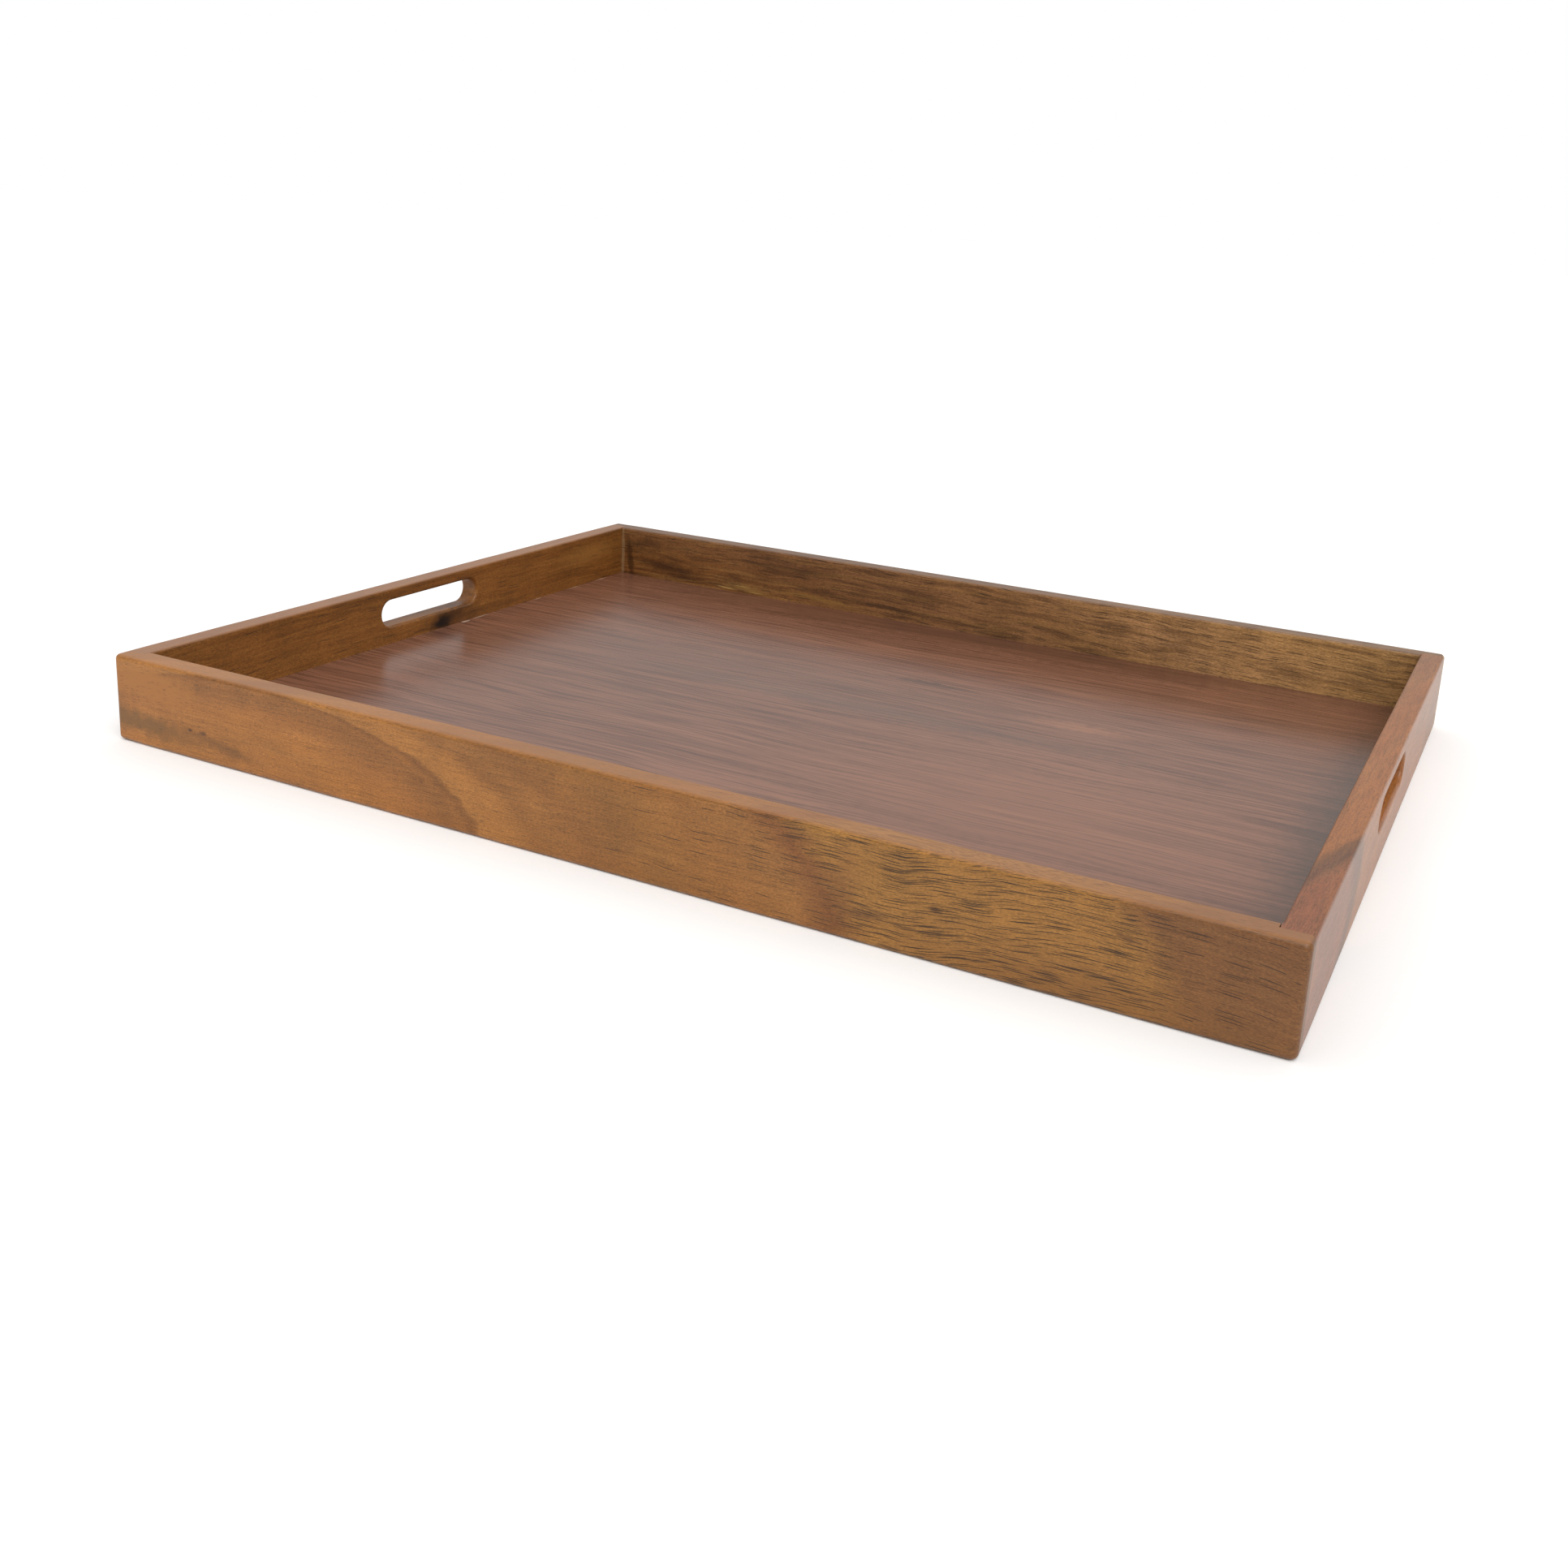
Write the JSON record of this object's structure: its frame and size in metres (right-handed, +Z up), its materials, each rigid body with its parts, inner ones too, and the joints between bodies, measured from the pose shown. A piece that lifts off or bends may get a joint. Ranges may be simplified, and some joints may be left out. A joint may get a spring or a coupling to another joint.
{
  "type": "serving tray",
  "caption": "Rectangular wooden serving tray with four upright rails, a flat inset floor and a round-ended hand slot through each end rail.",
  "frame": {"origin": "centre of the tray's base, on the surface that it stands on", "axes": "+X along the tray's length from the left end rail to the right one, +Y from the front rail to the rear rail, +Z up out of the open top"},
  "size_m": [0.65, 0.5, 0.05],
  "materials": {
    "rail_wood": "oiled acacia, sanded smooth",
    "core_board": "raw fibreboard",
    "floor_laminate": "satin laminate with a straight dark red-brown wood grain",
    "brad_steel": "bright drawn wire",
    "wood_filler": "sanded wood filler"
  },
  "bodies": {
    "root": {"front_rail": "rail_wood", "rear_rail": "rail_wood", "left_end_rail": "rail_wood", "right_end_rail": "rail_wood", "floor_core": "core_board", "floor_top_laminate": "floor_laminate", "floor_underside_laminate": "floor_laminate", "corner_brads": "brad_steel", "brad_hole_fillers": "wood_filler"}
  },
  "joints": []
}
